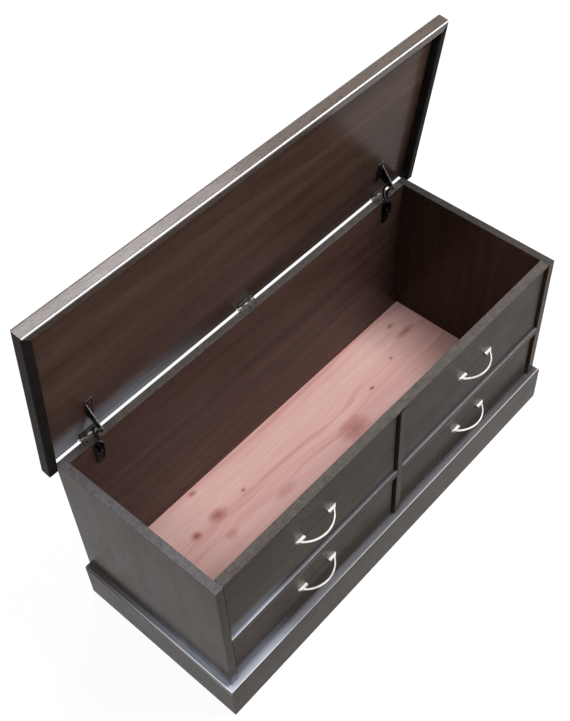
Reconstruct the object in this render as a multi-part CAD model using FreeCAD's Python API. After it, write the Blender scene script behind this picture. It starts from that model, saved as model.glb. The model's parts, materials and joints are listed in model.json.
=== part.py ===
import FreeCAD, Part
import math
import os

# Full-size cedar chest with a hinged lid, lid stays and false drawer fronts.
# Millimetres. X runs along the chest, -Y is the front, +Z is up.
# The origin is on the ground at the centre of the carcass, between its outer faces.
# The lid is stored open on its stays, as it rests when the chest is in use.

# Carcass
chest_length = 1120.0
chest_depth = 448.0
rim_height = 513.0
side_thickness = 20.0
back_thickness = 20.0
sub_front_thickness = 9.0

# False drawer fronts, set in between stile, rails and sides
drawer_front_thickness = 9.0
drawer_front_recess = 7.0
drawer_front_gap = 6.0
drawer_front_foot_gap = 1.0
stile_width = 18.0
mid_rail_height = 20.0
mid_rail_bottom = 272.0
cap_thickness = 6.0
cap_recess = 2.0

# Floor boards, held in grooves
floor_top = 86.0
floor_thickness = 14.0
floor_board_count = 3
groove_depth = 4.0
groove_clearance = 0.2

# Moulding round the foot
base_moulding_height = 113.0
base_moulding_thickness = 14.0
base_moulding_round = 5.0

# Lid
lid_panel_thickness = 11.0
lid_rim_gap = 4.0
lid_lip_drop = 20.0
lid_moulding_thickness = 21.0
lid_moulding_round = 5.0
lid_inner_round = 3.0
lid_end_clearance = 4.0
lid_front_clearance = 3.0
lid_tail = 12.0
lid_tail_round = 8.0
open_angle = 81.5

# Butt hinges between the rim of the back and the lid
hinge_centres = (-466.0, 0.0, 470.0)
hinge_length = 50.0
hinge_leaf_thickness = 1.8
hinge_leaf_reach = 21.5
hinge_barrel_radius = 3.2
hinge_barrel_offset = 3.5
hinge_knuckle_count = 5
hinge_knuckle_gap = 0.3
hinge_pin_radius = 1.6
hinge_pin_head_radius = 2.6
hinge_pin_head_length = 1.2
hinge_screw_pitch = 17.0
hinge_notch_clearance = 0.8

# Running clearance of pins in their holes, on the radius
pin_clearance = 0.05

# Countersunk wood screws
screw_head_radius = 3.2
screw_shank_radius = 1.6
screw_tip_length = 3.0
screw_recess_width = 0.9
screw_recess_depth = 1.1
screw_clearance = 0.05
rim_screw_length = 16.0
lid_screw_length = 10.5
stay_screw_length = 14.0

# Lid stays: a lug on the back, a slotted arm and an ear under the lid
stay_centre = 468.0
stay_sheet = 2.0
stay_side_gap = 0.4
stay_eye_radius = 8.0
stay_base_width = 23.0
stay_base_height = 60.0
stay_base_drop = 8.0
stay_lug_height = 26.0
stay_pivot_from_back = 12.0
stay_pivot_below_rim = 24.0
stay_base_screw_drops = (44.0, 58.0)
stay_plate_width = 19.0
stay_plate_start = 62.0
stay_plate_length = 58.0
stay_ear_start = 66.0
stay_ear_length = 44.0
stay_plate_screws = (84.0, 109.0)
stay_slot_pin_forward = 61.0
stay_slot_pin_drop = 37.0
stay_pin_radius = 2.5
stay_pin_head_radius = 5.0
stay_pin_head_length = 1.4
stay_ratio = 1.36
stay_slot_clearance = 0.3
stay_path_steps = 12

# Pulls: a thin bow on two flat feet, screwed from inside
pull_centre_from_middle = 275.0
pull_height_upper = 398.0
pull_height_lower = 198.0
pull_reach = 32.5
pull_bow_thickness = 2.8
pull_bow_height = 3.6
pull_bow_end_from_screw = 9.0
pull_foot_depth = 6.2
pull_foot_height = 6.6
pull_foot_inner_from_screw = 11.0
pull_foot_shoulder_from_screw = 7.0
pull_foot_tip_from_screw = 15.0
pull_screw_spacing = 96.0
pull_screw_radius = 2.0
pull_screw_grip = 5.0
pull_screw_head_radius = 4.0
pull_screw_head_length = 2.5
pull_screw_hole_clearance = 0.3

# Planes worked out from the sizes above
half_length = chest_length / 2
front_y = -chest_depth / 2
back_y = chest_depth / 2
inside_x = half_length - side_thickness
back_inner_y = back_y - back_thickness
drawer_front_y = front_y + drawer_front_recess
sub_front_y = drawer_front_y + drawer_front_thickness
inside_front_y = sub_front_y + sub_front_thickness
half_stile = stile_width / 2
mid_rail_top = mid_rail_bottom + mid_rail_height
cap_bottom = rim_height - cap_thickness
floor_bottom = floor_top - floor_thickness

hinge_y = back_y + hinge_barrel_offset
hinge_z = rim_height + lid_rim_gap / 2
lid_under_z = rim_height + lid_rim_gap
lid_top_z = lid_under_z + lid_panel_thickness
lid_lip_z = lid_under_z - lid_lip_drop
lid_inner_x = half_length + lid_end_clearance
lid_outer_x = lid_inner_x + lid_moulding_thickness
lid_inner_front_y = front_y - lid_front_clearance
lid_outer_front_y = lid_inner_front_y - lid_moulding_thickness
lid_tail_y = hinge_y + lid_tail

stay_pivot_y = back_inner_y - stay_pivot_from_back
stay_pivot_z = rim_height - stay_pivot_below_rim
slot_pin_closed_y = hinge_y - stay_slot_pin_forward
slot_pin_closed_z = hinge_z - stay_slot_pin_drop

X_AXIS = FreeCAD.Vector(1, 0, 0)
Y_AXIS = FreeCAD.Vector(0, 1, 0)
Z_AXIS = FreeCAD.Vector(0, 0, 1)


# Shapes used by several pieces

def save(node, shape):
    shape.exportStep("parts/" + node + ".step")


def box(x0, x1, y0, y1, z0, z1):
    corner = FreeCAD.Vector(min(x0, x1), y0, z0)
    return Part.makeBox(abs(x1 - x0), y1 - y0, z1 - z0, corner)


def rod(radius, start, axis, length):
    return Part.makeCylinder(radius, length, start, axis)


def prism(points, direction):
    outline = Part.makePolygon(points + [points[0]])
    return Part.Face(outline).extrude(direction)


def swing_open(shape):
    """Turn a piece of the lid from closed to its open rest."""
    turned = shape.copy()
    turned.rotate(FreeCAD.Vector(0, hinge_y, hinge_z), X_AXIS, -open_angle)
    return turned


def rounded_profile(corners, radii):
    """Face through the corners, each corner rounded by its own radius (0 keeps it sharp)."""
    count = len(corners)
    joints = []
    for i, corner in enumerate(corners):
        before = (corners[i - 1] - corner).normalize()
        after = (corners[(i + 1) % count] - corner).normalize()
        reach = radii[i]
        if reach == 0:
            joints.append((corner, corner, corner))
            continue
        centre = corner + (before + after) * reach
        middle = centre + (corner - centre).normalize() * reach
        joints.append((corner + before * reach, middle, corner + after * reach))
    edges = []
    for i, (start, middle, end) in enumerate(joints):
        if radii[i] != 0:
            edges.append(Part.Arc(start, middle, end).toShape())
        edges.append(Part.LineSegment(end, joints[(i + 1) % count][0]).toShape())
    return Part.Face(Part.Wire(edges))


def mitred_front(profile, outer_x, outer_y, inner_x, inner_y, z0, z1):
    """Front moulding: its profile run along X and mitred at both ends."""
    bar = profile.extrude(X_AXIS * (2 * outer_x))
    corners = [(-outer_x, outer_y), (outer_x, outer_y), (inner_x, inner_y), (-inner_x, inner_y)]
    points = [FreeCAD.Vector(x, y, z0) for x, y in corners]
    return bar.common(prism(points, Z_AXIS * (z1 - z0)))


def mitred_end(profile, outer_x, outer_y, inner_x, inner_y, rear_y, z0, z1):
    """Right-hand end moulding: its profile run along Y, mitred at the front."""
    bar = profile.extrude(Y_AXIS * (rear_y - outer_y))
    corners = [(outer_x, outer_y), (outer_x, rear_y), (inner_x, rear_y), (inner_x, inner_y)]
    points = [FreeCAD.Vector(x, y, z0) for x, y in corners]
    return bar.common(prism(points, Z_AXIS * (z1 - z0)))


def mirrored(shape):
    return shape.mirror(FreeCAD.Vector(0, 0, 0), X_AXIS)


def on_side(shape, side):
    return shape if side > 0 else mirrored(shape)


# Screws and their holes

def screw(length, play=0.0):
    """Countersunk screw along -Z, head flush with z = 0. With play it is the hole for one."""
    head_depth = screw_head_radius - screw_shank_radius
    head = Part.makeCone(screw_shank_radius + play, screw_head_radius + play, head_depth)
    head.translate(Z_AXIS * -head_depth)
    shank_length = length - head_depth - screw_tip_length
    shank = rod(screw_shank_radius + play, Z_AXIS * -head_depth, Z_AXIS * -1, shank_length)
    tip = Part.makeCone(0, screw_shank_radius + play, screw_tip_length + play)
    tip.translate(Z_AXIS * -(length + play))
    solid = head.fuse([shank, tip]).removeSplitter()
    if play:
        return solid
    half_recess = screw_recess_width / 2
    arm = screw_head_radius * 0.6
    slot = box(-arm, arm, -half_recess, half_recess, -screw_recess_depth, 0)
    cross = slot.fuse(box(-half_recess, half_recess, -arm, arm, -screw_recess_depth, 0))
    return solid.cut(cross)


def placed(shape, place, outward):
    """Put a shape made along -Z at a place, with its head facing outward."""
    turned = shape.copy()
    turned.Placement = FreeCAD.Placement(place, FreeCAD.Rotation(Z_AXIS, outward))
    return turned


def screws_at(places, outward, length, play=0.0):
    return [placed(screw(length, play), place, outward) for place in places]


def rim_screw_places():
    leaf_centre_y = back_inner_y + back_thickness / 2
    top = rim_height + hinge_leaf_thickness
    return [
        FreeCAD.Vector(centre + step * hinge_screw_pitch, leaf_centre_y, top)
        for centre in hinge_centres
        for step in (-1, 0, 1)
    ]


def lid_screw_places():
    leaf_centre_y = back_inner_y + back_thickness / 2
    bottom = lid_under_z - hinge_leaf_thickness
    return [
        FreeCAD.Vector(centre + step * hinge_screw_pitch, leaf_centre_y, bottom)
        for centre in hinge_centres
        for step in (-1, 0, 1)
    ]


def stay_base_screw_places(side):
    return [
        FreeCAD.Vector(side * stay_centre, back_inner_y - stay_sheet, rim_height - drop)
        for drop in stay_base_screw_drops
    ]


def stay_plate_middle():
    """Distance from the chest's middle to the centre line of the plate under the lid."""
    ear_outer = stay_centre - stay_sheet / 2 - 2 * (stay_sheet + stay_side_gap) + stay_sheet
    return ear_outer - stay_plate_width / 2


def stay_plate_screw_places(side):
    return [
        FreeCAD.Vector(side * stay_plate_middle(), hinge_y - forward, lid_under_z - stay_sheet)
        for forward in stay_plate_screws
    ]


def pull_centres():
    return {
        "upper_left": (-pull_centre_from_middle, pull_height_upper),
        "upper_right": (pull_centre_from_middle, pull_height_upper),
        "lower_left": (-pull_centre_from_middle, pull_height_lower),
        "lower_right": (pull_centre_from_middle, pull_height_lower),
    }


def pull_screw_holes(radius, y0, y1):
    """Round holes through the front for the pull screws."""
    holes = []
    for x, z in pull_centres().values():
        for side in (-1, 1):
            start = FreeCAD.Vector(x + side * pull_screw_spacing / 2, y0, z)
            holes.append(rod(radius, start, Y_AXIS, y1 - y0))
    return holes


# Carcass

def floor_groove():
    """Space that the floor and its grooves take up."""
    return box(
        -inside_x - groove_depth, inside_x + groove_depth,
        inside_front_y - groove_depth, back_inner_y + groove_depth,
        floor_bottom, floor_top + groove_clearance,
    )


def side_right():
    board = box(inside_x, half_length, front_y, back_y, 0, rim_height)
    return board.cut(floor_groove())


def back_board():
    board = box(-inside_x, inside_x, back_inner_y, back_y, 0, rim_height)
    stay_places = stay_base_screw_places(-1) + stay_base_screw_places(1)
    holes = screws_at(rim_screw_places(), Z_AXIS, rim_screw_length, screw_clearance)
    holes += screws_at(stay_places, Y_AXIS * -1, stay_screw_length, screw_clearance)
    return board.cut([floor_groove()] + holes)


def sub_front():
    board = box(-inside_x, inside_x, sub_front_y, inside_front_y, 0, cap_bottom)
    hole_radius = pull_screw_radius + pull_screw_hole_clearance
    holes = pull_screw_holes(hole_radius, sub_front_y, inside_front_y)
    return board.cut([floor_groove()] + holes)


def floor_board(index):
    edge = groove_depth - groove_clearance
    front = inside_front_y - edge
    width = (back_inner_y + edge - front) / floor_board_count
    return box(
        -inside_x - edge, inside_x + edge,
        front + index * width, front + (index + 1) * width,
        floor_bottom, floor_top,
    )


def centre_stile():
    return box(-half_stile, half_stile, front_y, sub_front_y, base_moulding_height, cap_bottom)


def mid_rail_right():
    return box(half_stile, inside_x, front_y, sub_front_y, mid_rail_bottom, mid_rail_top)


def top_cap():
    return box(-inside_x, inside_x, front_y + cap_recess, inside_front_y, cap_bottom, rim_height)


def plinth_rail():
    return box(-inside_x, inside_x, front_y, sub_front_y, 0, base_moulding_height)


def drawer_front(side, z0, z1):
    near = half_stile + drawer_front_gap
    far = inside_x - drawer_front_gap
    bottom = z0 + drawer_front_foot_gap
    top = z1 - drawer_front_gap
    board = box(side * near, side * far, drawer_front_y, sub_front_y, bottom, top)
    hole_radius = pull_screw_radius + pull_screw_hole_clearance
    return board.cut(pull_screw_holes(hole_radius, drawer_front_y, sub_front_y))


# Moulding round the foot

def base_moulding_front():
    outer_y = front_y - base_moulding_thickness
    outer_x = half_length + base_moulding_thickness
    corners = [
        FreeCAD.Vector(-outer_x, outer_y, 0),
        FreeCAD.Vector(-outer_x, outer_y, base_moulding_height),
        FreeCAD.Vector(-outer_x, front_y, base_moulding_height),
        FreeCAD.Vector(-outer_x, front_y, 0),
    ]
    profile = rounded_profile(corners, (0, base_moulding_round, 0, 0))
    return mitred_front(
        profile, outer_x, outer_y, half_length, front_y, 0, base_moulding_height
    )


def base_moulding_right():
    outer_y = front_y - base_moulding_thickness
    outer_x = half_length + base_moulding_thickness
    corners = [
        FreeCAD.Vector(outer_x, outer_y, 0),
        FreeCAD.Vector(outer_x, outer_y, base_moulding_height),
        FreeCAD.Vector(half_length, outer_y, base_moulding_height),
        FreeCAD.Vector(half_length, outer_y, 0),
    ]
    profile = rounded_profile(corners, (0, base_moulding_round, 0, 0))
    return mitred_end(
        profile, outer_x, outer_y, half_length, front_y, back_y, 0, base_moulding_height
    )


# Lid, made closed and then swung open

def lid_panel():
    panel = box(-lid_inner_x, lid_inner_x, lid_inner_front_y, hinge_y, lid_under_z, lid_top_z)
    notch_depth = hinge_barrel_radius + hinge_notch_clearance
    notch_half = hinge_length / 2 + hinge_pin_head_length + 2 * hinge_notch_clearance
    notches = [
        box(
            centre - notch_half, centre + notch_half,
            hinge_y - notch_depth, lid_tail_y, lid_lip_z, lid_top_z,
        )
        for centre in hinge_centres
    ]
    stay_places = stay_plate_screw_places(-1) + stay_plate_screw_places(1)
    down = Z_AXIS * -1
    holes = screws_at(lid_screw_places(), down, lid_screw_length, screw_clearance)
    holes += screws_at(stay_places, down, lid_screw_length, screw_clearance)
    return swing_open(panel.cut(notches + holes))


def lid_moulding_front():
    corners = [
        FreeCAD.Vector(-lid_outer_x, lid_outer_front_y, lid_lip_z),
        FreeCAD.Vector(-lid_outer_x, lid_outer_front_y, lid_top_z),
        FreeCAD.Vector(-lid_outer_x, lid_inner_front_y, lid_top_z),
        FreeCAD.Vector(-lid_outer_x, lid_inner_front_y, lid_lip_z),
    ]
    radii = (lid_moulding_round, lid_moulding_round, 0, lid_inner_round)
    bar = mitred_front(
        rounded_profile(corners, radii),
        lid_outer_x, lid_outer_front_y, lid_inner_x, lid_inner_front_y, lid_lip_z, lid_top_z,
    )
    return swing_open(bar)


def lid_moulding_right():
    corners = [
        FreeCAD.Vector(lid_outer_x, lid_outer_front_y, lid_lip_z),
        FreeCAD.Vector(lid_outer_x, lid_outer_front_y, lid_top_z),
        FreeCAD.Vector(lid_inner_x, lid_outer_front_y, lid_top_z),
        FreeCAD.Vector(lid_inner_x, lid_outer_front_y, lid_lip_z),
    ]
    radii = (lid_moulding_round, lid_moulding_round, 0, lid_inner_round)
    bar = mitred_end(
        rounded_profile(corners, radii),
        lid_outer_x, lid_outer_front_y, lid_inner_x, lid_inner_front_y,
        lid_tail_y, lid_lip_z, lid_top_z,
    )
    flank = [
        FreeCAD.Vector(lid_inner_x, lid_outer_front_y, lid_lip_z),
        FreeCAD.Vector(lid_inner_x, lid_outer_front_y, lid_top_z),
        FreeCAD.Vector(lid_inner_x, lid_tail_y, lid_top_z),
        FreeCAD.Vector(lid_inner_x, lid_tail_y, lid_lip_z),
    ]
    outline = rounded_profile(flank, (0, 0, 0, lid_tail_round))
    return swing_open(bar.common(outline.extrude(X_AXIS * lid_moulding_thickness)))


# Hinges

def knuckles(centre, first, radius):
    """Every second knuckle of a barrel, starting with the given one."""
    pitch = hinge_length / hinge_knuckle_count
    length = pitch - hinge_knuckle_gap
    start = centre - hinge_length / 2 + hinge_knuckle_gap / 2
    axis_point = FreeCAD.Vector(0, hinge_y, hinge_z)
    return [
        rod(radius, axis_point + X_AXIS * (start + index * pitch), X_AXIS, length)
        for index in range(first, hinge_knuckle_count, 2)
    ]


def hinge_leaf(centre, z0, first_knuckle, places, outward, screw_length):
    """One leaf with its knuckles, the other leaf's knuckles kept clear."""
    half = hinge_length / 2
    plate = box(
        centre - half, centre + half,
        hinge_y - hinge_leaf_reach, hinge_y, z0, z0 + hinge_leaf_thickness,
    )
    pitch = hinge_length / hinge_knuckle_count
    room = hinge_barrel_radius + hinge_notch_clearance
    gaps = []
    for index in range(1 - first_knuckle, hinge_knuckle_count, 2):
        start = centre - half + index * pitch - hinge_knuckle_gap / 2
        gaps.append(
            box(
                start, start + pitch + hinge_knuckle_gap,
                hinge_y - room, hinge_y + room, hinge_z - room, hinge_z + room,
            )
        )
    leaf = plate.cut(gaps).fuse(knuckles(centre, first_knuckle, hinge_barrel_radius))
    bore = rod(
        hinge_pin_radius + pin_clearance,
        FreeCAD.Vector(centre - hinge_length, hinge_y, hinge_z), X_AXIS, 2 * hinge_length,
    )
    holes = screws_at(places, outward, screw_length, screw_clearance)
    return leaf.cut([bore] + holes).removeSplitter()


def hinge_leaf_lower(index):
    places = rim_screw_places()[3 * index:3 * index + 3]
    return hinge_leaf(
        hinge_centres[index], rim_height, 0, places, Z_AXIS, rim_screw_length
    )


def hinge_leaf_upper(index):
    places = lid_screw_places()[3 * index:3 * index + 3]
    leaf = hinge_leaf(
        hinge_centres[index], lid_under_z - hinge_leaf_thickness, 1,
        places, Z_AXIS * -1, lid_screw_length,
    )
    return swing_open(leaf)


def hinge_pin(centre):
    half = hinge_length / 2
    start = FreeCAD.Vector(centre - half, hinge_y, hinge_z)
    pin = rod(hinge_pin_radius, start, X_AXIS, hinge_length)
    heads = [
        rod(hinge_pin_head_radius, start, X_AXIS * -1, hinge_pin_head_length),
        rod(hinge_pin_head_radius, start + X_AXIS * hinge_length, X_AXIS, hinge_pin_head_length),
    ]
    return pin.fuse(heads).removeSplitter()


# Lid stays

def tangent_point(corner, centre, radius, turn):
    """Where the line from a corner touches a circle, both as (y, z). turn picks the side."""
    dy = corner[0] - centre[0]
    dz = corner[1] - centre[1]
    distance = math.hypot(dy, dz)
    angle = math.atan2(dz, dy) + turn * math.acos(radius / distance)
    return (centre[0] + radius * math.cos(angle), centre[1] + radius * math.sin(angle))


def tab(corner_a, corner_b, eye, x0, thickness):
    """Flat tab in a plane across X, from the line a-b to a rounded eye."""
    touch_a = tangent_point(corner_a, eye, stay_eye_radius, 1)
    touch_b = tangent_point(corner_b, eye, stay_eye_radius, -1)
    corners = (corner_a, corner_b, touch_b, touch_a)
    points = [FreeCAD.Vector(x0, y, z) for y, z in corners]
    blade = prism(points, X_AXIS * thickness)
    knob = rod(stay_eye_radius, FreeCAD.Vector(x0, eye[0], eye[1]), X_AXIS, thickness)
    return blade.fuse(knob).removeSplitter()


def turned_point(point, centre, degrees):
    """Turn a (y, z) point about a centre, the way the lid closes."""
    angle = math.radians(degrees)
    dy = point[0] - centre[0]
    dz = point[1] - centre[1]
    return (
        centre[0] + dy * math.cos(angle) - dz * math.sin(angle),
        centre[1] + dy * math.sin(angle) + dz * math.cos(angle),
    )


def slot_path():
    """Path of the lid's pin as the arm sees it, from closed to open, in the open pose."""
    hinge = (hinge_y, hinge_z)
    pivot = (stay_pivot_y, stay_pivot_z)
    closed = (slot_pin_closed_y, slot_pin_closed_z)
    path = []
    for step in range(stay_path_steps + 1):
        closing = open_angle * (1 - step / stay_path_steps)
        pin = turned_point(closed, hinge, closing - open_angle)
        path.append(turned_point(pin, pivot, -stay_ratio * closing))
    return path


def ribbon(path, half_width, x0, thickness):
    """Flat strip of even width along a smooth path, with round ends."""
    count = len(path)
    left = []
    right = []
    tangents = []
    for i in range(count):
        before = path[max(i - 1, 0)]
        after = path[min(i + 1, count - 1)]
        dy = after[0] - before[0]
        dz = after[1] - before[1]
        size = math.hypot(dy, dz)
        tangents.append((dy / size, dz / size))
    for (y, z), (ty, tz) in zip(path, tangents):
        left.append(FreeCAD.Vector(x0, y - tz * half_width, z + ty * half_width))
        right.append(FreeCAD.Vector(x0, y + tz * half_width, z - ty * half_width))
    (y, z), (ty, tz) = path[-1], tangents[-1]
    far_cap = FreeCAD.Vector(x0, y + ty * half_width, z + tz * half_width)
    (y, z), (ty, tz) = path[0], tangents[0]
    near_cap = FreeCAD.Vector(x0, y - ty * half_width, z - tz * half_width)
    left_curve = Part.BSplineCurve()
    left_curve.interpolate(left)
    right_curve = Part.BSplineCurve()
    right_curve.interpolate(right[::-1])
    edges = [
        left_curve.toShape(),
        Part.Arc(left[-1], far_cap, right[-1]).toShape(),
        right_curve.toShape(),
        Part.Arc(right[0], near_cap, left[0]).toShape(),
    ]
    return Part.Face(Part.Wire(edges)).extrude(X_AXIS * thickness)


def stay_layer(number):
    """Inner X of a layer of the right stay: 0 is the lug, 1 the arm, 2 the ear."""
    return stay_centre - stay_sheet / 2 - number * (stay_sheet + stay_side_gap)


def stay_base_right():
    top = rim_height - stay_base_drop
    half = stay_base_width / 2
    plate = box(
        stay_centre - half, stay_centre + half,
        back_inner_y - stay_sheet, back_inner_y, top - stay_base_height, top,
    )
    root_y = back_inner_y - stay_sheet
    eye = (stay_pivot_y, stay_pivot_z)
    low = (root_y, stay_pivot_z - stay_lug_height / 2)
    high = (root_y, stay_pivot_z + stay_lug_height / 2)
    lug = tab(high, low, eye, stay_layer(0), stay_sheet)
    start = FreeCAD.Vector(stay_layer(1), stay_pivot_y, stay_pivot_z)
    bore = rod(stay_pin_radius + pin_clearance, start, X_AXIS, 2 * (stay_sheet + stay_side_gap))
    places = stay_base_screw_places(1)
    holes = screws_at(places, Y_AXIS * -1, stay_screw_length, screw_clearance)
    return plate.fuse(lug).cut([bore] + holes).removeSplitter()


def stay_arm_right():
    x0 = stay_layer(1)
    path = slot_path()
    pivot = (stay_pivot_y, stay_pivot_z)
    shank = ribbon([pivot, path[0]], stay_eye_radius, x0, stay_sheet)
    plate = ribbon(path, stay_eye_radius, x0, stay_sheet).fuse(shank).removeSplitter()
    slot = ribbon(path, stay_pin_radius + stay_slot_clearance, x0, stay_sheet)
    start = FreeCAD.Vector(x0, pivot[0], pivot[1])
    bore = rod(stay_pin_radius + pin_clearance, start, X_AXIS, stay_sheet)
    return plate.cut([slot, bore])


def stay_pivot_pin_right():
    """Rivet through the lug and the arm."""
    start = FreeCAD.Vector(stay_layer(1) - stay_side_gap / 2, stay_pivot_y, stay_pivot_z)
    length = 2 * stay_sheet + 2 * stay_side_gap
    shank = rod(stay_pin_radius, start, X_AXIS, length)
    heads = [
        rod(stay_pin_head_radius, start, X_AXIS * -1, stay_pin_head_length),
        rod(stay_pin_head_radius, start + X_AXIS * length, X_AXIS, stay_pin_head_length),
    ]
    return shank.fuse(heads).removeSplitter()


def stay_lid_bracket_right():
    """Plate under the lid with the ear that carries the sliding pin."""
    x0 = stay_layer(2)
    outer = x0 + stay_sheet
    plate = box(
        outer - stay_plate_width, outer,
        hinge_y - stay_plate_start - stay_plate_length, hinge_y - stay_plate_start,
        lid_under_z - stay_sheet, lid_under_z,
    )
    root_z = lid_under_z - stay_sheet / 2
    eye = (slot_pin_closed_y, slot_pin_closed_z)
    rear = (hinge_y - stay_ear_start, root_z)
    fore = (hinge_y - stay_ear_start - stay_ear_length, root_z)
    ear = tab(fore, rear, eye, x0, stay_sheet)
    start = FreeCAD.Vector(x0, eye[0], eye[1])
    bore = rod(stay_pin_radius, start, X_AXIS, stay_sheet)
    places = stay_plate_screw_places(1)
    holes = screws_at(places, Z_AXIS * -1, lid_screw_length, screw_clearance)
    return swing_open(plate.fuse(ear).cut([bore] + holes).removeSplitter())


def stay_slot_pin_right():
    """Rivet fixed in the ear that slides in the arm's slot."""
    start = FreeCAD.Vector(stay_layer(2), slot_pin_closed_y, slot_pin_closed_z)
    length = 2 * stay_sheet + 1.5 * stay_side_gap
    shank = rod(stay_pin_radius, start, X_AXIS, length)
    heads = [
        rod(stay_pin_head_radius, start, X_AXIS * -1, stay_pin_head_length),
        rod(stay_pin_head_radius, start + X_AXIS * length, X_AXIS, stay_pin_head_length),
    ]
    return swing_open(shank.fuse(heads).removeSplitter())


# Pulls

def pull():
    """Bow pull with its back on y = 0, centred on the origin, reaching towards -Y."""
    return pull_bow().fuse([pull_foot(-1), pull_foot(1)]).removeSplitter()


def pull_bow():
    """Arc of the bow, cut off at the face that the pull is screwed to."""
    end_x = pull_screw_spacing / 2 + pull_bow_end_from_screw
    radius = (end_x ** 2 + pull_reach ** 2) / (2 * pull_reach)
    low_z = -pull_bow_height / 2
    centre = FreeCAD.Vector(0, radius - pull_reach, low_z)
    ring = rod(radius, centre, Z_AXIS, pull_bow_height)
    ring = ring.cut(rod(radius - pull_bow_thickness, centre, Z_AXIS, pull_bow_height))
    return ring.cut(box(-2 * radius, 2 * radius, 0, 2 * radius, low_z, -low_z))


def pull_foot(side):
    """Flat foot with a square inner end and a slanted outer end."""
    screw_x = pull_screw_spacing / 2
    outline = [
        (screw_x - pull_foot_inner_from_screw, 0),
        (screw_x - pull_foot_inner_from_screw, -pull_foot_depth),
        (screw_x + pull_foot_shoulder_from_screw, -pull_foot_depth),
        (screw_x + pull_foot_tip_from_screw, 0),
    ]
    corners = [FreeCAD.Vector(side * x, y, -pull_foot_height / 2) for x, y in outline]
    return prism(corners, Z_AXIS * pull_foot_height)


def pull_at(x, z):
    handle = pull()
    handle.translate(FreeCAD.Vector(x, drawer_front_y, z))
    bore_start = drawer_front_y - pull_screw_grip - screw_clearance
    return handle.cut(
        pull_screw_holes(pull_screw_radius + screw_clearance, bore_start, drawer_front_y)
    )


def pull_screws():
    """Pan head screws from inside the chest, one group of separate solids."""
    solids = []
    for x, z in pull_centres().values():
        for side in (-1, 1):
            seat = FreeCAD.Vector(x + side * pull_screw_spacing / 2, inside_front_y, z)
            length = inside_front_y - drawer_front_y + pull_screw_grip
            shank = rod(pull_screw_radius, seat, Y_AXIS * -1, length)
            head = rod(pull_screw_head_radius, seat, Y_AXIS, pull_screw_head_length)
            solids.append(shank.fuse(head).removeSplitter())
    return Part.makeCompound(solids)


# Write every piece

def save_carcass():
    save("side_right", side_right())
    save("side_left", mirrored(side_right()))
    save("back_board", back_board())
    save("sub_front", sub_front())
    for index in range(floor_board_count):
        save("floor_board_" + str(index + 1), floor_board(index))
    save("centre_stile", centre_stile())
    save("mid_rail_right", mid_rail_right())
    save("mid_rail_left", mirrored(mid_rail_right()))
    save("top_cap", top_cap())
    save("plinth_rail", plinth_rail())
    for name, side in (("left", -1), ("right", 1)):
        save("drawer_front_upper_" + name, drawer_front(side, mid_rail_top, cap_bottom))
        save("drawer_front_lower_" + name, drawer_front(side, base_moulding_height, mid_rail_bottom))
    save("base_moulding_front", base_moulding_front())
    save("base_moulding_right", base_moulding_right())
    save("base_moulding_left", mirrored(base_moulding_right()))


def save_lid():
    save("lid_panel", lid_panel())
    save("lid_moulding_front", lid_moulding_front())
    save("lid_moulding_right", lid_moulding_right())
    save("lid_moulding_left", mirrored(lid_moulding_right()))


def save_hinges():
    for index, name in enumerate(("left", "middle", "right")):
        save("hinge_leaf_lower_" + name, hinge_leaf_lower(index))
        save("hinge_leaf_upper_" + name, hinge_leaf_upper(index))
        save("hinge_pin_" + name, hinge_pin(hinge_centres[index]))
    rim_screws = screws_at(rim_screw_places(), Z_AXIS, rim_screw_length)
    save("hinge_screws_rim", Part.makeCompound(rim_screws))
    lid_screws = screws_at(lid_screw_places(), Z_AXIS * -1, lid_screw_length)
    save("hinge_screws_lid", swing_open(Part.makeCompound(lid_screws)))


def save_stays():
    for name, side in (("left", -1), ("right", 1)):
        save("stay_base_" + name, on_side(stay_base_right(), side))
        save("stay_arm_" + name, on_side(stay_arm_right(), side))
        save("stay_pivot_pin_" + name, on_side(stay_pivot_pin_right(), side))
        save("stay_lid_bracket_" + name, on_side(stay_lid_bracket_right(), side))
        save("stay_slot_pin_" + name, on_side(stay_slot_pin_right(), side))
    base_places = stay_base_screw_places(-1) + stay_base_screw_places(1)
    base_screws = screws_at(base_places, Y_AXIS * -1, stay_screw_length)
    save("stay_screws_back", Part.makeCompound(base_screws))
    plate_places = stay_plate_screw_places(-1) + stay_plate_screw_places(1)
    plate_screws = screws_at(plate_places, Z_AXIS * -1, lid_screw_length)
    save("stay_screws_lid", swing_open(Part.makeCompound(plate_screws)))


def save_pulls():
    for name, (x, z) in pull_centres().items():
        save("pull_" + name, pull_at(x, z))
    save("pull_screws", pull_screws())


os.makedirs("parts", exist_ok=True)
save_carcass()
save_lid()
save_hinges()
save_stays()
save_pulls()
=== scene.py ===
"""Looks of the cedar chest: stage, camera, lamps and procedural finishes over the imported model."""
import json
import math
from collections import namedtuple
from dataclasses import dataclass

import bpy
from mathutils import Matrix, Vector


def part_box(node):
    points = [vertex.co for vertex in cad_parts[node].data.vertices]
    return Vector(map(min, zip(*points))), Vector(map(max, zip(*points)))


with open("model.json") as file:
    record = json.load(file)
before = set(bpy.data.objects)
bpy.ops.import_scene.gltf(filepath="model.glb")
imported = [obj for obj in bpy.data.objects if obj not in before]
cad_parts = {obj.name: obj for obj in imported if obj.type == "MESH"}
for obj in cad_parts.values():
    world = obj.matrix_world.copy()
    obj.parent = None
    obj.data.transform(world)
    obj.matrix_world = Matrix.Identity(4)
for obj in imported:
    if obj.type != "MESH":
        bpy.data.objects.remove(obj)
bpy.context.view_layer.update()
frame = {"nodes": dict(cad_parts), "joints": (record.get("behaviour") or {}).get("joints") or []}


# Colours as they are seen, in sRGB. A stain has a dark, a middle and a light tone

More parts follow.
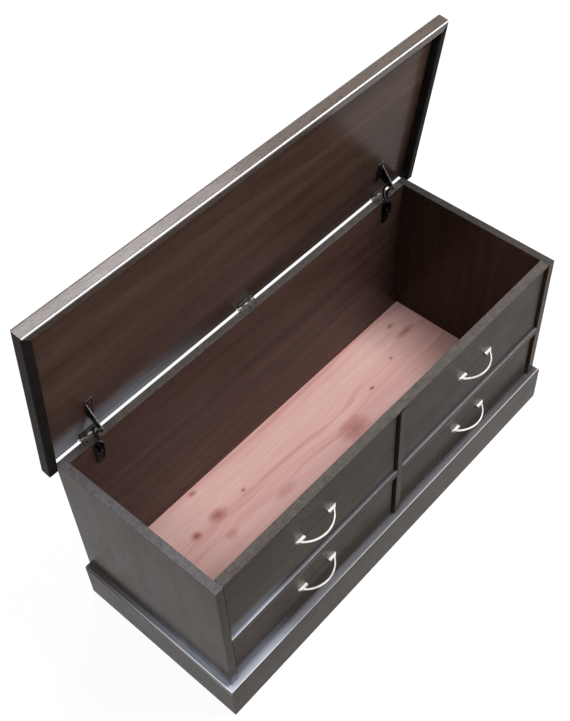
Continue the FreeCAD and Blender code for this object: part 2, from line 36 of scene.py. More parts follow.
INK = (24, 18, 14)
STAIN = (INK, (46, 36, 28), (66, 52, 41))
# Lid moulding tones: the front moulding's painted lighter as a painted highlight, the end mouldings'
# darker as painted shade
STAIN_LID_EDGE_LIT = ((48, 40, 35), (66, 56, 50), (88, 78, 72))
STAIN_LID_END_SHADED = ((16, 14, 13), (31, 28, 27), (46, 42, 40))
# Tones of the inner walls and the lid's underside: the stain painted lighter and redder as a painted
# reflection of the cedar floor
STAIN_WALLS_FLOOR_REFLECTION = ((46, 29, 25), (66, 44, 38), (84, 60, 52))
STAIN_BACK_FLOOR_REFLECTION = ((58, 40, 37), (87, 62, 57), (108, 82, 76))
STAIN_UNDER_LID_FLOOR_REFLECTION = ((60, 44, 38), (85, 64, 57), (105, 83, 74))
# Rim tones: greyed and speckled, painted lighter on the left end as painted light and darker on the
# right end as painted shade
RIM_MIDDLE = ((50, 46, 44), (96, 91, 88))
RIM_LEFT_LIT = ((58, 56, 58), (109, 106, 109))
RIM_RIGHT_SHADED = ((38, 36, 35), (72, 70, 68))
RUBBED = (124, 112, 104)
# Painted highlights on ledges and arrises, and painted glow on upright faces and the lid
LEDGE_HIGHLIGHT = (196, 202, 219)
LEDGE_LEFT_HIGHLIGHT = (226, 231, 244)
ARRIS_HIGHLIGHT = (214, 216, 222)
ARRIS_LEFT_HIGHLIGHT = (250, 251, 255)
GLOW = (138, 144, 161)
GLOW_LID = (188, 194, 208)
CEDAR_PALE = (226, 192, 184)
CEDAR_MID = (213, 170, 165)
CEDAR_RED = (184, 122, 118)
KNOT_RING = (164, 96, 88)
KNOT_CORE = (84, 48, 44)
BRONZE_PALE = (98, 95, 92)
BRONZE_DARK = (58, 55, 53)
# Lower hinge leaves, painted paler than the upper leaves as painted light
LIT_LEAF_PALE = (122, 118, 117)
LIT_LEAF_DARK = (92, 89, 88)
# Hinge barrels, painted paler than the leaves as a painted highlight along them
BARREL_HIGHLIGHT_PALE = (176, 176, 180)
BARREL_HIGHLIGHT_DARK = (120, 120, 124)
STAY_BODY = (26, 25, 26)
STAY_WORN = (78, 78, 80)
# A painted highlight along the edges of the lid brackets
STAY_EDGE_HIGHLIGHT = (236, 236, 238)
NICKEL = (240, 238, 235)
NICKEL_DARK = (206, 203, 200)
# Painted shade on the fronts of the pulls' feet
PULL_FOOT_SHADE = (118, 115, 112)
FLOOR_WHITE = (236, 236, 234)
FLOOR_SPECK = (225, 225, 223)
FLOOR_SEEN = (92, 92, 91)


# Places and directions on the chest, taken from its pieces, in metres

INNER_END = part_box("side_right")[0].x
INNER_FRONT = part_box("sub_front")[1].y
INNER_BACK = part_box("back_board")[0].y
RIM_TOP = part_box("side_right")[1].z
FOOT_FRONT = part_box("base_moulding_front")[0].y
FOOT_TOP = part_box("base_moulding_front")[1].z
RAIL_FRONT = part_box("mid_rail_left")[0].y
RAIL_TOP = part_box("mid_rail_left")[1].z
PANEL_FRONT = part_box("drawer_front_upper_left")[0].y
BOARD_SKIN = 0.0005
RIM_SKIN = 0.0002
RIM_DEPTH = 0.0015
RECESS_START = 0.0075
RECESS_FULL = 0.0062
CORNER_LIMIT = -0.34
EASED = 0.0008
EASED_LITTLE = 0.0003
LID_TURN = next(joint for joint in frame["joints"] if joint["name"] == "lid_hinge")["range_deg"][1]
LID_LEAN = math.radians(90 - LID_TURN)
UP = (0.0, 0.0, 1.0)
LEFT = (-1.0, 0.0, 0.0)
RIGHT = (1.0, 0.0, 0.0)
FRONT = (0.0, -1.0, 0.0)
LID_FRONT = (0.0, -math.sin(LID_LEAN), math.cos(LID_LEAN))
LID_UNDER = (0.0, -math.cos(LID_LEAN), -math.sin(LID_LEAN))


def linear(colour):
    """An sRGB colour of 0 to 255 as the four linear numbers a shader takes."""
    parts = [c / 255 for c in colour]
    return tuple(c / 12.92 if c <= 0.04045 else ((c + 0.055) / 1.055) ** 2.4 for c in parts) + (1.0,)


# Short ways to write node trees
# The sockets of a colour mix node have no names of their own, only places

MIX_FACTOR, MIX_FROM, MIX_TO, MIX_RESULT = 0, 6, 7, 2


class Finish:
    """One material and its node tree."""

    def __init__(self, name):
        self.material = bpy.data.materials.new(name)
        self.material.use_nodes = True
        self.tree = self.material.node_tree
        self.tree.nodes.clear()
        self.output = self.tree.nodes.new("ShaderNodeOutputMaterial")
        self.coordinates = self.tree.nodes.new("ShaderNodeTexCoord")
        self.place = self.coordinates.outputs["Object"]
        self.facing = self.coordinates.outputs["Normal"]
        self.x, self.y, self.z = self.split(self.place)
        _, self.facing_back, self.facing_up = self.split(self.facing)

    def add(self, kind, inputs, **settings):
        node = self.tree.nodes.new(kind)
        for key, value in settings.items():
            setattr(node, key, value)
        for key, value in inputs.items():
            self.feed(node.inputs[key], value)
        return node

    def feed(self, socket, value):
        if isinstance(value, bpy.types.NodeSocket):
            self.tree.links.new(value, socket)
        else:
            socket.default_value = value

    def split(self, vector):
        return self.add("ShaderNodeSeparateXYZ", {0: vector}).outputs

    def joined(self, x, y, z):
        return self.add("ShaderNodeCombineXYZ", {"X": x, "Y": y, "Z": z}).outputs[0]

    def moved(self, place, offset):
        sockets = {0: place, 1: offset}
        return self.add("ShaderNodeVectorMath", sockets, operation="ADD").outputs["Vector"]

    def likeness(self, direction, other):
        """1 where two directions are the same, 0 at a right angle, -1 where they are opposite."""
        sockets = {0: direction, 1: other}
        return self.add("ShaderNodeVectorMath", sockets, operation="DOT_PRODUCT").outputs["Value"]

    def scaled(self, place, scale, offset=(0, 0, 0)):
        sockets = {"Vector": place, "Location": offset, "Scale": scale}
        return self.add("ShaderNodeMapping", sockets).outputs["Vector"]

    def noise(self, place, scale, detail, roughness=0.5, distortion=0.0):
        sockets = {"Vector": place, "Scale": scale, "Detail": detail}
        sockets.update({"Roughness": roughness, "Distortion": distortion})
        return self.add("ShaderNodeTexNoise", sockets).outputs["Fac"]

    def maths(self, operation, a, b=0.0):
        return self.add("ShaderNodeMath", {0: a, 1: b}, operation=operation).outputs[0]

    def product(self, first, *others):
        for factor in others:
            first = self.maths("MULTIPLY", first, factor)
        return first

    def spread(self, value, low, high, to_low=0.0, to_high=1.0, smooth=False):
        """The value's range from low to high, drawn out to another range and held at its ends."""
        sockets = {"Value": value, "From Min": low, "From Max": high}
        sockets.update({"To Min": to_low, "To Max": to_high})
        kind = "SMOOTHSTEP" if smooth else "LINEAR"
        return self.add("ShaderNodeMapRange", sockets, interpolation_type=kind).outputs["Result"]

    def band(self, value, start, full, fade, end):
        """Rises from 0 at start to 1 at full, and falls back to 0 from fade to end."""
        rise = self.spread(value, start, full, smooth=True)
        return self.product(rise, self.spread(value, fade, end, 1.0, 0.0, smooth=True))

    def ramp(self, factor, positions, colours):
        node = self.add("ShaderNodeValToRGB", {"Fac": factor})
        elements = node.color_ramp.elements
        while len(elements) < len(positions):
            elements.new(0.5)
        for element, position, colour in zip(elements, positions, colours):
            element.position = position
            element.color = linear(colour)
        return node.outputs["Color"]

    def mix(self, factor, before, after):
        node = self.tree.nodes.new("ShaderNodeMix")
        node.data_type = "RGBA"
        self.feed(node.inputs[MIX_FACTOR], factor)
        for index, value in ((MIX_FROM, before), (MIX_TO, after)):
            self.feed(node.inputs[index], linear(value) if isinstance(value, tuple) else value)
        return node.outputs[MIX_RESULT]

    def bump(self, height, distance, strength, normal=None):
        sockets = {"Height": height, "Distance": distance, "Strength": strength}
        if normal:
            sockets["Normal"] = normal
        return self.add("ShaderNodeBump", sockets).outputs["Normal"]

    def edges(self, radius):
        """1 on an edge or corner, 0 on a flat face."""
        rounded = self.add("ShaderNodeBevel", {"Radius": radius}, samples=4).outputs["Normal"]
        true = self.tree.nodes.new("ShaderNodeNewGeometry").outputs["Normal"]
        turn = self.maths("SUBTRACT", 1.0, self.likeness(rounded, true))
        return self.spread(turn, 0.02, 0.22, smooth=True)

    def surface(self, colour, roughness, normal, **constants):
        sockets = {"Base Color": colour, "Roughness": roughness, "Normal": normal, **constants}
        shader = self.add("ShaderNodeBsdfPrincipled", sockets)
        self.tree.links.new(shader.outputs[0], self.output.inputs["Surface"])
        return self.material


def drawn_out(axis, along, across):
    """A scale for noise that is drawn out along one axis."""
    return tuple(along if name == axis else across for name in "xyz")


# Parts of the chest that a finish tells apart

def inside_of(finish):
    """1 on the inner faces of the box, 0 elsewhere."""
    ends = finish.maths("LESS_THAN", finish.maths("ABSOLUTE", finish.x), INNER_END + BOARD_SKIN)
    behind = finish.maths("GREATER_THAN", finish.y, INNER_FRONT - BOARD_SKIN)
    before = finish.maths("LESS_THAN", finish.y, INNER_BACK + BOARD_SKIN)
    below = finish.maths("LESS_THAN", finish.z, RIM_TOP - RIM_SKIN)
    return finish.product(ends, behind, before, below)


def underside_of(finish):
    """1 on the face of the lid that looks into the box, 0 elsewhere."""
    return finish.spread(finish.facing_back, -0.5, -0.3, 1.0, 0.0)


def rim_of(finish):
    """1 on the top edge of the box, 0 elsewhere."""
    high = finish.maths("GREATER_THAN", finish.z, RIM_TOP - RIM_DEPTH)
    return finish.product(high, finish.maths("GREATER_THAN", finish.facing_up, 0.8))


def shaded_foot_front(finish):
    """Painted shade: 1 on the fronts of the pulls' feet close to the panel, 0 elsewhere."""
    near = finish.spread(finish.y, PANEL_FRONT - RECESS_START, PANEL_FRONT - RECESS_FULL)
    return finish.product(near, finish.spread(finish.facing_up, 0.3, 0.7, 1.0, 0.0))


def far_corner_shade(finish):
    """Painted shade: 1 in the back right corner of the open box and low on the lid beside it, 0
    elsewhere.
    """
    right = finish.spread(finish.x, INNER_END - 0.26, INNER_END, smooth=True)
    behind = finish.spread(finish.y, -0.08, 0.18)
    return finish.product(right, behind, finish.spread(finish.z, 0.6, 0.8, 1.0, 0.0))


def near_corner(finish):
    """1 at the front left corner of the box, falling along the front and along the left side."""
    corner = finish.spread(finish.x, -0.47, CORNER_LIMIT, 1.0, 0.42, smooth=True)
    along = finish.spread(finish.x, CORNER_LIMIT, 0.5, 1.0, 0.35)
    return finish.product(corner, along, finish.spread(finish.y, -0.16, 0.19, 1.0, 0.12, smooth=True))


# Glow of the photograph's lamps on upright faces

GLOW_REACH = 0.046


def glow_above(finish, foot):
    """Strongest at height foot on an outer face, fading above it and away from the near corner."""
    low = finish.spread(finish.z, foot, foot + GLOW_REACH, 1.0, 0.0, smooth=True)
    upright = finish.spread(finish.facing_up, 0.2, 0.6, 1.0, 0.0)
    near = finish.spread(near_corner(finish), 0.45, 1.0, 0.15, 1.0)
    return finish.product(low, upright, near, finish.maths("SUBTRACT", 1.0, inside_of(finish)))


def glow_above_foot(finish):
    """The glow above the foot moulding."""
    return glow_above(finish, FOOT_TOP)


def glow_above_rail(finish):
    """The glow above the middle rails."""
    return glow_above(finish, RAIL_TOP)


def glow_at_hinge(finish):
    """A bluish sheen at the foot of the raised lid, left of the middle hinge."""
    low = finish.spread(finish.z, RIM_TOP + 0.003, RIM_TOP + 0.087, 1.0, 0.0, smooth=True)
    forward = finish.spread(finish.facing_back, -0.5, 0.0, 1.0, 0.0)
    return finish.product(low, forward, finish.spread(finish.x, -0.42, -0.05, 0.9, 0.0, smooth=True))


# Glow of the lamps on ledges
# A fall says where a ledge is brightest, where it is dullest, and how much glow is left there

FOOT_FALL = (FOOT_FRONT + 0.002, RAIL_FRONT + 0.005, 0.45)
RAIL_FALL = (RAIL_FRONT + EASED, RAIL_FRONT + 0.0045, 0.3)


@dataclass
class Ledge:
    """Light on the top of a moulding or rail, and on the arris between the top and its outer side."""
    up: tuple = UP
    outward: tuple = FRONT
    strength: float = 1.0
    fall: tuple = FOOT_FALL
    tint: tuple = LEDGE_HIGHLIGHT
    arris: tuple = ARRIS_HIGHLIGHT
    arris_range: tuple = (0.35, 0.6)
    below_arris: float = 0.0


def lit_top(finish, grain, colour, ledge):
    """The glow on top of a ledge, in streaks of the grain."""
    brightest, dullest, least = ledge.fall
    flat = finish.spread(finish.likeness(finish.facing, ledge.up), 0.93, 0.99, smooth=True)
    streaks = finish.spread(grain.figure, 0.35, 0.65, 0.7 * ledge.strength, ledge.strength)
    sunk = finish.spread(finish.y, brightest, dullest, 1.0, least)
    return finish.mix(finish.product(flat, near_corner(finish), streaks, sunk), colour, ledge.tint)


def lit_below(finish, colour, ledge):
    """A thin glow on the outer face just below its arris, fading towards the back."""
    rise = finish.spread(finish.z, FOOT_TOP - 0.017, FOOT_TOP, 0.0, ledge.below_arris)
    upright = finish.spread(finish.likeness(finish.facing, ledge.up), 0.2, 0.5, 1.0, 0.0)
    forward = finish.spread(finish.y, -0.2, 0.12, 1.0, 0.0)
    return finish.mix(finish.product(rise, forward, upright), colour, ARRIS_HIGHLIGHT)


def lit_arris(finish, grain, colour, ledge):
    """The line of light on the rounded arris, uneven but for the near corner."""
    round_top = finish.band(finish.likeness(finish.facing, ledge.up), 0.45, 0.75, 0.93, 0.985)
    outer = finish.spread(finish.likeness(finish.facing, ledge.outward), 0.05, 0.25)
    uneven = finish.spread(grain.patches, 0.38, 0.6, *ledge.arris_range)
    uneven = finish.maths("MAXIMUM", uneven, near_corner(finish))
    return finish.mix(finish.product(round_top, outer, uneven), colour, ledge.arris)


def lit_ledge(finish, grain, colour, ledge):
    """The whole glow of a ledge, painted over the stain."""
    if ledge.strength:
        colour = lit_top(finish, grain, colour, ledge)
    if ledge.below_arris:
        colour = lit_below(finish, colour, ledge)
    return lit_arris(finish, grain, colour, ledge)


# Stained wood

Grain = namedtuple("Grain", "figure fibre pores patches smear")


def grain_of(finish, axis, seed):
    """Figure, fibre and pores drawn out along the board, and patches and smears of the stain."""
    shifted = finish.moved(finish.place, (seed, seed * 0.37, seed * 0.71))
    waver = finish.noise(finish.scaled(shifted, (3.0, 3.0, 3.0)), 1.0, 2.0)
    waver = finish.product(waver, 0.03)
    bent = finish.moved(shifted, finish.joined(waver, waver, waver))
    figure = finish.noise(finish.scaled(bent, drawn_out(axis, 1, 14)), 1.6, 5.0, 0.6, 0.6)
    fibre = finish.noise(finish.scaled(bent, drawn_out(axis, 1, 56)), 9.0, 4.0, 0.65)
    pores = finish.spread(fibre, 0.30, 0.42, 1.0, 0.0, smooth=True)
    patches = finish.noise(finish.place, 2.3, 3.0, 0.5)
    smear = finish.noise(finish.place, 11.0, 3.0, 0.6)
    return Grain(figure, fibre, pores, patches, smear)


def figured(finish, grain, tones):
    """A stain's tones laid out by the figure of the wood."""
    return finish.ramp(grain.figure, (0.25, 0.5, 0.78), tones)


def flecked(finish, grain, axis, colour, tones):
    """Dark pores, paler patches, and fine specks of both."""
    dark, _, light = tones
    colour = finish.mix(finish.product(grain.pores, 0.45), colour, dark)
    colour = finish.mix(finish.spread(grain.patches, 0.35, 0.75, 0.0, 0.22), colour, light)
    speck = finish.noise(finish.scaled(finish.place, drawn_out(axis, 0.4, 1.0)), 330.0, 3.0, 0.6)
    colour = finish.mix(finish.spread(speck, 0.35, 0.65, 0.0, 0.5), colour, light)
    return finish.mix(finish.spread(speck, 0.30, 0.50, 0.55, 0.0), colour, dark)


def greyed_rim(finish, colour, tones):
    """Greyed and speckled stain on the top edge of the box, in the tones given: the left end's lighter
    as painted light, the right end's darker as painted shade.
    """
    saw = finish.noise(finish.place, 520.0, 2.0, 0.7)
    blotch = finish.noise(finish.place, 90.0, 3.0, 0.6)
    grey = finish.ramp(finish.mix(0.3, saw, blotch), (0.34, 0.62), tones)
    return finish.mix(finish.product(rim_of(finish), 0.9), colour, grey)


def rubbed_edges(finish, colour, amount):
    """Stain rubbed thin in places along the arrises."""
    worn = finish.noise(finish.place, 55.0, 4.0, 0.7)
    rubs = finish.product(finish.edges(0.0025), finish.spread(worn, 0.42, 0.62), amount)
    return finish.mix(rubs, colour, RUBBED)


def sheen_of(finish, grain, satin, rim):
    """Roughness of the satin coat, duller in smears, in the pores and on the rim."""
    roughness = finish.spread(grain.smear, 0.3, 0.7, satin, satin + 0.1)
    roughness = finish.maths("ADD", roughness, finish.product(grain.pores, 0.12))
    if rim:
        roughness = finish.maths("ADD", roughness, finish.product(rim_of(finish), 0.5))
    return roughness


def stained_wood(name, axis, seed, tones=STAIN, gloss=1.12, satin=0.18, wear=0.35,
                 floor_reflection=None, floor_reflection_at=inside_of, glow=None, rim=None, ledge=None):
    """Dark stain with a satin clear coat: drawn-out figure, open pores and rubbed edges, and where
    asked for a painted floor reflection on inner faces, painted shade in the far corner, painted glow
    and painted ledge highlights.
    """
    finish = Finish(name)
    grain = grain_of(finish, axis, seed)
    colour = figured(finish, grain, tones)
    # Inner faces take the lighter, redder tones: a painted reflection of the cedar floor
    if floor_reflection:
        colour = finish.mix(floor_reflection_at(finish), colour, figured(finish, grain, floor_reflection))
        # Painted shade darkens the back right corner of the box and the lid beside it
        colour = finish.mix(finish.product(far_corner_shade(finish), 0.7), colour, tones[0])
    colour = flecked(finish, grain, axis, colour, tones)
    if glow:
        where, tint = glow
        streaks = finish.spread(grain.figure, 0.35, 0.65, 0.55, 0.95)
        colour = finish.mix(finish.product(where(finish), streaks), colour, tint)
    if rim:
        colour = greyed_rim(finish, colour, rim)
    colour = rubbed_edges(finish, colour, wear)
    if ledge:
        colour = lit_ledge(finish, grain, colour, ledge)
    relief = finish.bump(grain.fibre, 0.00025, 0.5)
    relief = finish.bump(grain.smear, 0.0006, 0.25, relief)
    return finish.surface(colour, sheen_of(finish, grain, satin, rim), relief, IOR=gloss)


# Knots of the cedar floor: place, radius along and across the grain, depth of colour and of the core

KNOTS = [
    (-0.343, 0.100, 0.011, 0.009, 0.75, 0.6),
    (-0.270, 0.102, 0.019, 0.013, 0.72, 0.35),
    (-0.268, 0.191, 0.010, 0.006, 0.6, 0.5),
    (-0.180, 0.105, 0.006, 0.004, 0.6, 0.8),
    (-0.286, 0.041, 0.014, 0.009, 0.4, 0.0),
    (-0.113, 0.026, 0.026, 0.010, 0.35, 0.0),
    (0.136, 0.017, 0.034, 0.024, 0.6, 0.18),
    (0.262, 0.065, 0.007, 0.004, 0.7, 0.8),
    (0.372, 0.090, 0.005, 0.004, 0.5, 0.7),
    (0.458, 0.162, 0.010, 0.005, 0.5, 0.4),
    (0.470, 0.120, 0.026, 0.007, 0.6, 0.3),
]


def knots_of(finish):
    """How reddened a point is by knots, how dark by their cores, and how far the grain swings."""
    ragged = finish.maths("SUBTRACT", finish.noise(finish.place, 60.0, 3.0, 0.6), 0.5)
    ragged = finish.product(ragged, 0.9)
    halo, core, swing = 0.0, 0.0, 0.0
    for centre_x, centre_y, along, across, depth, heart in KNOTS:
        dx = finish.maths("DIVIDE", finish.maths("SUBTRACT", finish.x, centre_x), along)
        dy = finish.maths("DIVIDE", finish.maths("SUBTRACT", finish.y, centre_y), across)
        square = finish.maths("ADD", finish.product(dx, dx), finish.product(dy, dy))
        radius = finish.maths("SQRT", square)
        reach = finish.maths("ADD", radius, ragged)
        halo = finish.maths("MAXIMUM", halo, finish.spread(reach, 0.5, 1.9, depth, 0.0, smooth=True))
        if heart:
            heartwood = finish.spread(reach, 0.15, 0.75, heart, 0.0, smooth=True)
            core = finish.maths("MAXIMUM", core, heartwood)
        close = finish.spread(radius, 0.0, 4.5, 1.0, 0.0, smooth=True)
        swing = finish.maths("ADD", swing, finish.product(close, dy, across * 0.55))
    return halo, core, swing


def bare_cedar(name, seed):
    """Unfinished aromatic cedar: pinkish heartwood streaks, pale sapwood and tight knots."""
    finish = Finish(name)
    halo, core, swing = knots_of(finish)
    waver = finish.noise(finish.scaled(finish.place, (2.0, 5.0, 2.0), (seed, 0, 0)), 1.0, 2.0)
    across = finish.maths("ADD", finish.maths("ADD", finish.y, swing), finish.product(waver, 0.05))
    drawn = finish.joined(finish.x, across, seed)
    broad = finish.noise(finish.scaled(drawn, (0.9, 11, 1)), 1.0, 3.0, 0.55)
    rings = finish.noise(finish.scaled(drawn, (1.6, 70, 1)), 1.0, 5.0, 0.6)
    fibre = finish.noise(finish.scaled(drawn, (9, 480, 1)), 1.0, 3.0, 0.6)
    tone = finish.maths("ADD", finish.product(broad, 0.6), finish.product(rings, 0.4))
    colour = finish.ramp(tone, (0.30, 0.46, 0.66), (CEDAR_RED, CEDAR_MID, CEDAR_PALE))
    colour = finish.mix(finish.spread(fibre, 0.35, 0.7, 0.28, 0.0), colour, CEDAR_RED)
    colour = finish.mix(halo, colour, KNOT_RING)
    colour = finish.mix(core, colour, KNOT_CORE)
    roughness = finish.spread(fibre, 0.3, 0.7, 0.72, 0.58)
    return finish.surface(colour, roughness, finish.bump(fibre, 0.0002, 0.5), IOR=1.45)


# Metals

def brushed_metal(name, pale, dark, axis, shine, edge=None, foot_shade=None):
    """Metal with fine drawn scratches and handling marks; the stays have worn edges, the brackets edges
    with a painted highlight, and the pulls painted shade on the fronts of their feet.
    """
    finish = Finish(name)
    scratches = finish.noise(finish.scaled(finish.place, drawn_out(axis, 20, 300)), 1.0, 3.0, 0.6)
    marks = finish.noise(finish.place, 40.0, 3.0, 0.5)
    colour = finish.ramp(marks, (0.3, 0.5), (dark, pale))
    colour = finish.mix(finish.spread(scratches, 0.35, 0.7, 0.0, 0.35), colour, pale)
    if edge:
        # Paler edges: wear on the stays, a painted highlight on the brackets
        colour = finish.mix(finish.edges(0.0011), colour, edge)
    # Painted shade on the fronts of the pulls' feet
    if foot_shade:
        colour = finish.mix(shaded_foot_front(finish), colour, foot_shade)
    roughness = finish.spread(finish.maths("ADD", scratches, marks), 0.7, 1.3, *shine)
    return finish.surface(colour, roughness, finish.bump(scratches, 0.00002, 0.15), Metallic=1.0)


# Which finish each piece takes

FOOT_GLOW = (glow_above_foot, GLOW)
RAIL_GLOW = (glow_above_rail, GLOW)
HINGE_GLOW = (glow_at_hinge, GLOW_LID)
FOOT_LEDGE = Ledge()
FOOT_LEDGE_LEFT = Ledge(outward=LEFT, tint=LEDGE_LEFT_HIGHLIGHT, arris=ARRIS_LEFT_HIGHLIGHT, arris_range=(0.0, 0.0),
                        below_arris=0.45)
FOOT_LEDGE_RIGHT = Ledge(outward=RIGHT, strength=0.8)
RAIL_LEDGE_LEFT = Ledge(strength=1.5, fall=RAIL_FALL)
RAIL_LEDGE_RIGHT = Ledge(strength=1.7, fall=RAIL_FALL)
LID_LEDGE = Ledge(up=LID_FRONT, outward=LID_UNDER, strength=0.0, arris_range=(0.75, 1.0))
WOOD = {
    "side_left": ("z", 1.3, {"floor_reflection": STAIN_WALLS_FLOOR_REFLECTION, "rim": RIM_LEFT_LIT, "glow": FOOT_GLOW}),
    "side_right": ("z", 2.7, {"floor_reflection": STAIN_WALLS_FLOOR_REFLECTION, "rim": RIM_RIGHT_SHADED, "glow": FOOT_GLOW}),
    "back_board": ("x", 4.1, {"floor_reflection": STAIN_BACK_FLOOR_REFLECTION, "rim": RIM_MIDDLE, "gloss": 1.2}),
    "sub_front": ("x", 5.9, {"floor_reflection": STAIN_WALLS_FLOOR_REFLECTION, "rim": RIM_MIDDLE}),
    "top_cap": ("x", 6.2, {"rim": RIM_MIDDLE}),
    "plinth_rail": ("x", 7.7, {"ledge": FOOT_LEDGE}),
    "centre_stile": ("z", 8.4, {"glow": FOOT_GLOW}),
    "mid_rail_left": ("x", 9.6, {"ledge": RAIL_LEDGE_LEFT}),
    "mid_rail_right": ("x", 10.3, {"ledge": RAIL_LEDGE_RIGHT}),
    "drawer_front_upper_left": ("x", 11.8, {"glow": RAIL_GLOW, "satin": 0.25}),
    "drawer_front_upper_right": ("x", 12.9, {"glow": RAIL_GLOW, "satin": 0.25}),
    "drawer_front_lower_left": ("x", 13.2, {"glow": FOOT_GLOW, "satin": 0.25}),
    "drawer_front_lower_right": ("x", 14.5, {"glow": FOOT_GLOW, "satin": 0.25}),
    "base_moulding_front": ("x", 15.1, {"ledge": FOOT_LEDGE, "gloss": 1.13}),
    "base_moulding_left": ("y", 16.6, {"ledge": FOOT_LEDGE_LEFT, "gloss": 1.1}),
    "base_moulding_right": ("y", 17.4, {"ledge": FOOT_LEDGE_RIGHT}),
    # The lid mouldings are one stain, painted lighter on the front as a painted highlight and darker on
    # the ends as painted shade
    "lid_moulding_front": ("x", 18.9, {"tones": STAIN_LID_EDGE_LIT, "ledge": LID_LEDGE, "gloss": 1.35}),
    "lid_moulding_left": ("y", 19.5, {"tones": STAIN_LID_END_SHADED, "wear": 0.05, "gloss": 1.04}),
    "lid_moulding_right": ("y", 20.8, {"tones": STAIN_LID_END_SHADED, "wear": 0.05, "gloss": 1.04}),
    "lid_panel": ("x", 21.7, {"floor_reflection": STAIN_UNDER_LID_FLOOR_REFLECTION, "floor_reflection_at": underside_of, "glow": HINGE_GLOW}),
}
METAL = {
    # Lower and upper hinge leaves are one metal: the lower painted lighter as painted light, the upper
    # darker as painted shade
    "metal_leaf_lower_lit": (LIT_LEAF_PALE, LIT_LEAF_DARK, "x", (0.4, 0.55)),
    "metal_leaf_upper_shaded": (BRONZE_DARK, STAY_BODY, "x", (0.35, 0.5)),
    # The barrels are painted pale as a painted highlight along them
    "metal_barrel_highlight": (BARREL_HIGHLIGHT_PALE, BARREL_HIGHLIGHT_DARK, "x", (0.25, 0.4)),
    "metal_screw": (BRONZE_PALE, BRONZE_DARK, "x", (0.3, 0.5)),
    "metal_stay": (STAY_BODY, INK, "z", (0.3, 0.45), STAY_WORN),
    "metal_bracket": (STAY_BODY, INK, "z", (0.3, 0.45), STAY_EDGE_HIGHLIGHT),
    "metal_pull": (NICKEL, NICKEL_DARK, "x", (0.42, 0.55), None, PULL_FOOT_SHADE),
}
METAL_OF = {
    "hinge_leaf_lower": "metal_leaf_lower_lit",
    "hinge_leaf_upper": "metal_leaf_upper_shaded",
    "hinge_pin": "metal_barrel_highlight",
    "hinge_screws": "metal_screw",
    "stay_base": "metal_stay",
    "stay_arm": "metal_stay",
    "stay_lid_bracket": "metal_bracket",
    "stay_pivot_pin": "metal_screw",
    "stay_slot_pin": "metal_screw",
    "stay_screws": "metal_screw",
    "pull_screws": "metal_screw",
    "pull_upper": "metal_pull",
    "pull_lower": "metal_pull",
}


def finish_for(node):
    """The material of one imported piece."""
    if node in WOOD:
        axis, seed, details = WOOD[node]
        return stained_wood("wood_" + node, axis, seed, **details)
    if node.startswith("floor_board"):
        return bare_cedar("cedar_" + node, 30 + int(node[-1]) * 1.9)
    metal = next(name for start, name in METAL_OF.items() if node.startswith(start))
    return bpy.data.materials.get(metal) or brushed_metal(metal, *METAL[metal])


def soften(piece, width):
    """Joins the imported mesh's seams and rounds its sharp edges a little."""
    weld = piece.modifiers.new("joined", "WELD")
    weld.merge_threshold = 0.00001
    bevel = piece.modifiers.new("eased_edges", "BEVEL")
    bevel.width = width
    bevel.segments = 2
    bevel.limit_method = "ANGLE"
    bevel.angle_limit = 0.6
    piece.modifiers.new("even_shading", "WEIGHTED_NORMAL").keep_sharp = True


for node, piece in frame["nodes"].items():
    material = finish_for(node)
    for slot in piece.material_slots:
        slot.material = material
    if node in WOOD:
        soften(piece, EASED_LITTLE if node in ("back_board", "lid_panel") else EASED)


# Stage, lamps and camera

FLOOR_RADIUS = 9.0
FLOOR_SIDES = 64
FLOOR_HEIGHT = -0.0005
FLOOR_GLOW = 0.91
SKY_LIGHT = 0.15
CAMERA_PLACE = (-1.14936, -1.023, 2.37795)
CAMERA_AZIMUTH = 48.39
CAMERA_ELEVATION = 50.54
CAMERA_ROLL = -1.06


def in_view(tree):
    """1 for rays that show the stage itself: from the camera, in a reflection or through glass."""
    path = tree.nodes.new("ShaderNodeLightPath").outputs
    total = path["Is Camera Ray"]
    for ray in ("Is Glossy Ray", "Is Transmission Ray"):
        greater = tree.nodes.new("ShaderNodeMath")
        greater.operation = "MAXIMUM"
        tree.links.new(total, greater.inputs[0])
        tree.links.new(path[ray], greater.inputs[1])
        total = greater.outputs[0]
    return total


def floor_paper():
    """Pale paper that looks white and keeps the chest's shadow."""
    finish = Finish("floor_paper")
    speck = finish.noise(finish.place, 30.0, 2.0)
    tone = finish.mix(finish.spread(speck, 0.3, 0.7, 0.0, 0.05), FLOOR_WHITE, FLOOR_SPECK)
    shown = in_view(finish.tree)
    paper = finish.add("ShaderNodeBsdfDiffuse", {"Color": finish.mix(shown, tone, FLOOR_SEEN)})
    strength = finish.product(shown, FLOOR_GLOW)
    glow = finish.add("ShaderNodeEmission", {"Color": (1, 1, 1, 1), "Strength": strength})
    both = finish.add("ShaderNodeAddShader", {0: paper.outputs[0], 1: glow.outputs[0]})
    finish.tree.links.new(both.outputs[0], finish.output.inputs["Surface"])
    return finish.material


def stage_floor():
    """A wide round floor just under the chest."""
    edge = Vector((FLOOR_RADIUS, 0, FLOOR_HEIGHT))
    turns = [math.tau * i / FLOOR_SIDES for i in range(FLOOR_SIDES)]
    mesh = bpy.data.meshes.new("floor")
    mesh.from_pydata([Matrix.Rotation(turn, 3, "Z") @ edge for turn in turns], [], [range(FLOOR_SIDES)])
    mesh.materials.append(floor_paper())
    floor = bpy.data.objects.new("floor", mesh)
    bpy.context.scene.collection.objects.link(floor)


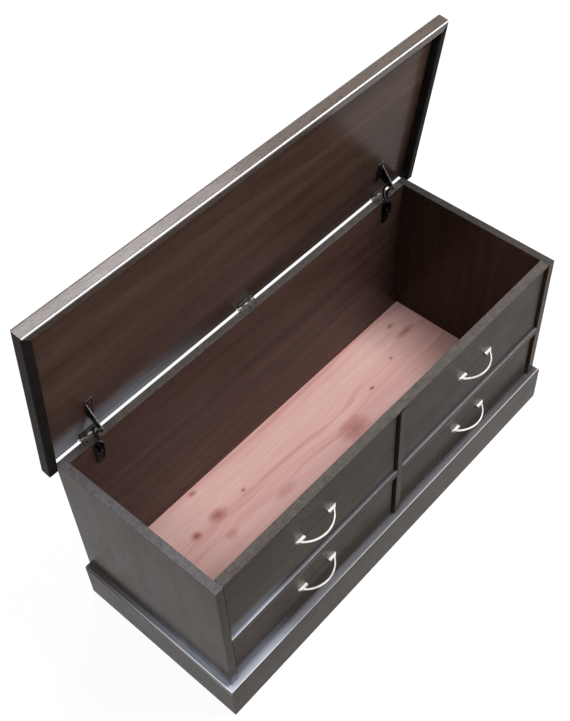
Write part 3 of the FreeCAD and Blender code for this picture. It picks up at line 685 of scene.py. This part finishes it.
def sky():
    """White to look at, and an even light on the object."""
    world = bpy.data.worlds.new("studio")
    bpy.context.scene.world = world
    world.use_nodes = True
    background = world.node_tree.nodes["Background"]
    background.inputs["Color"].default_value = (1, 1, 1, 1)
    strength = world.node_tree.nodes.new("ShaderNodeMapRange")
    strength.inputs["To Min"].default_value = SKY_LIGHT
    strength.inputs["To Max"].default_value = 1.0
    world.node_tree.links.new(in_view(world.node_tree), strength.inputs["Value"])
    world.node_tree.links.new(strength.outputs["Result"], background.inputs["Strength"])


def soft_lamp(name, place, aim, size, power, colour=(1, 1, 1)):
    """A rectangular lamp at a place, turned towards its aim."""
    data = bpy.data.lights.new(name, "AREA")
    data.shape = "RECTANGLE"
    data.size, data.size_y = size
    data.energy = power
    data.color = colour
    lamp = bpy.data.objects.new(name, data)
    lamp.location = place
    lamp.rotation_euler = (Vector(aim) - Vector(place)).to_track_quat("-Z", "Y").to_euler()
    bpy.context.scene.collection.objects.link(lamp)


def photo_camera():
    """The photograph's viewpoint, with its small tilt and off-centre frame."""
    data = bpy.data.cameras.new("camera")
    data.sensor_width = 36.0
    data.lens = 56.0
    data.shift_x = -0.0533
    data.shift_y = -0.0058
    turn = Matrix.Rotation(-math.radians(CAMERA_AZIMUTH), 4, "Z")
    tip = Matrix.Rotation(math.radians(90 - CAMERA_ELEVATION), 4, "X")
    lean = Matrix.Rotation(math.radians(CAMERA_ROLL), 4, "Z")
    camera = bpy.data.objects.new("camera", data)
    camera.matrix_world = Matrix.Translation(CAMERA_PLACE) @ turn @ tip @ lean
    bpy.context.scene.collection.objects.link(camera)
    bpy.context.scene.camera = camera


stage_floor()
sky()
soft_lamp("front_right", (1.15, -1.2, 3.25), (0.3, -0.2, 0.3), (1.8, 0.6), 110, (1.0, 0.99, 0.97))
soft_lamp("left", (-1.9, -0.5, 3.2), (-0.3, 0.0, 0.2), (0.8, 0.8), 26)
soft_lamp("back_middle", (0.65, 1.1, 3.3), (0.65, 1.0, 0.0), (1.4, 0.5), 40, (1.0, 0.98, 0.99))
soft_lamp("back_left", (-1.2, 1.4, 3.3), (-1.0, 1.2, 0.0), (0.6, 1.2), 32, (0.88, 0.94, 1.0))
photo_camera()
view = bpy.context.scene.view_settings
view.view_transform = "Standard"
